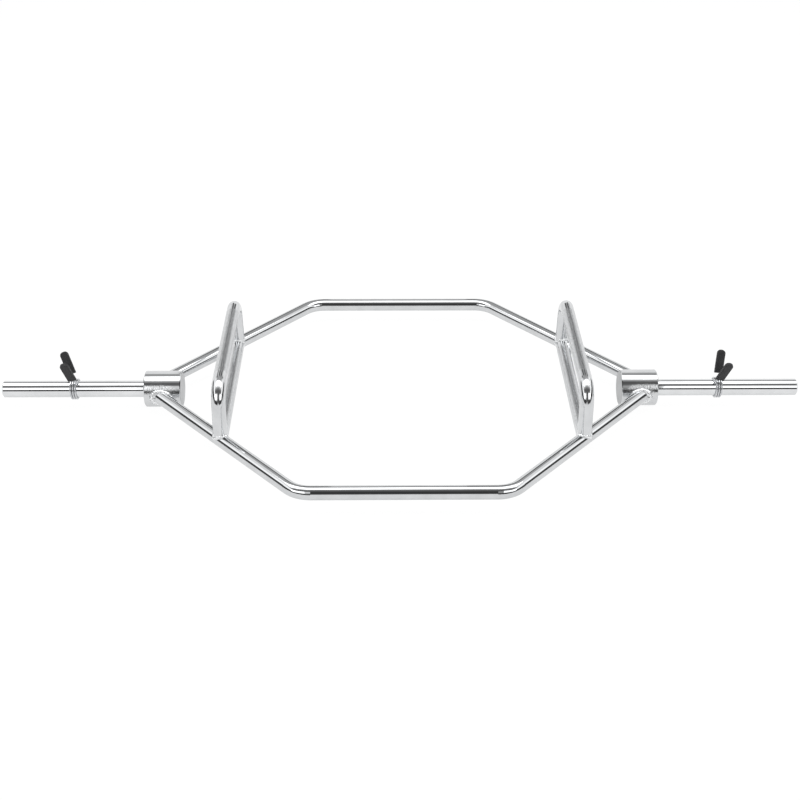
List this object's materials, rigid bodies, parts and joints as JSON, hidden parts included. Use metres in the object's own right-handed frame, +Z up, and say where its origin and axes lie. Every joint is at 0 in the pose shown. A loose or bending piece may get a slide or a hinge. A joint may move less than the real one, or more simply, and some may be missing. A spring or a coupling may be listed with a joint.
{
  "type": "hex trap bar",
  "caption": "Chromed hexagonal trap bar with flat and raised knurled handles, hubs, plate sleeves and spring collars, for deadlifts and shrugs.",
  "frame": {"origin": "on the floor under the middle of the bar, midway between the sleeve ends and between the front and rear tubes", "axes": "+X along the bar to the right sleeve, -Y to the front, +Z up"},
  "size_m": [1.43, 0.666, 0.137],
  "materials": {
    "frame_chrome": "bright chrome plating on bent steel tube",
    "sleeve_chrome": "bright chrome plating on turned steel",
    "grip_chrome": "satin chrome plating over a fine diamond knurl",
    "weld_chrome": "chrome plating over a rippled weld bead",
    "spring_steel": "bright zinc plated spring wire",
    "grip_plastic": "black matt moulded plastic"
  },
  "bodies": {
    "frame": {"front_frame_tube": "frame_chrome", "rear_frame_tube": "frame_chrome", "left_hub": "sleeve_chrome", "left_sleeve": "sleeve_chrome", "left_sleeve_weld": "weld_chrome", "left_flat_handle": "grip_chrome", "left_raised_handle": "grip_chrome", "left_front_hub_weld": "weld_chrome", "left_front_handle_weld": "weld_chrome", "left_rear_hub_weld": "weld_chrome", "left_rear_handle_weld": "weld_chrome", "right_hub": "sleeve_chrome", "right_sleeve": "sleeve_chrome", "right_sleeve_weld": "weld_chrome", "right_flat_handle": "grip_chrome", "right_raised_handle": "grip_chrome", "right_front_hub_weld": "weld_chrome", "right_front_handle_weld": "weld_chrome", "right_rear_hub_weld": "weld_chrome", "right_rear_handle_weld": "weld_chrome"},
    "left_collar": {"left_collar_spring": "spring_steel"},
    "left_front_collar_grip": {"left_front_collar_grip": "grip_plastic"},
    "left_rear_collar_grip": {"left_rear_collar_grip": "grip_plastic"},
    "right_collar": {"right_collar_spring": "spring_steel"},
    "right_front_collar_grip": {"right_front_collar_grip": "grip_plastic"},
    "right_rear_collar_grip": {"right_rear_collar_grip": "grip_plastic"}
  },
  "joints": [
    {"name": "left_collar_slide", "type": "slide", "parent": "frame", "child": "left_collar", "axis": [-1, 0, 0], "range_m": [-0.1132, 0.143]},
    {"name": "left_front_grip_squeeze", "type": "hinge", "parent": "left_collar", "child": "left_front_collar_grip", "pos_m": [0, 0, 0.0325], "axis": [-1, 0, 0], "range_deg": [0, 9], "stiffness_Nm_per_rad": 2, "deforming": ["left_collar_spring"]},
    {"name": "left_rear_grip_squeeze", "type": "hinge", "parent": "left_collar", "child": "left_rear_collar_grip", "pos_m": [0, 0, 0.0325], "axis": [1, 0, 0], "range_deg": [0, 9], "stiffness_Nm_per_rad": 2, "deforming": ["left_collar_spring"]},
    {"name": "right_collar_slide", "type": "slide", "parent": "frame", "child": "right_collar", "axis": [1, 0, 0], "range_m": [-0.0975, 0.16]},
    {"name": "right_front_grip_squeeze", "type": "hinge", "parent": "right_collar", "child": "right_front_collar_grip", "pos_m": [0, 0, 0.0325], "axis": [-1, 0, 0], "range_deg": [0, 9], "stiffness_Nm_per_rad": 2, "deforming": ["right_collar_spring"]},
    {"name": "right_rear_grip_squeeze", "type": "hinge", "parent": "right_collar", "child": "right_rear_collar_grip", "pos_m": [0, 0, 0.0325], "axis": [1, 0, 0], "range_deg": [0, 9], "stiffness_Nm_per_rad": 2, "deforming": ["right_collar_spring"]}
  ],
  "couplings": [
    {"joint": "left_rear_grip_squeeze", "follows": "left_front_grip_squeeze", "ratio": 1},
    {"joint": "right_rear_grip_squeeze", "follows": "right_front_grip_squeeze", "ratio": 1}
  ]
}
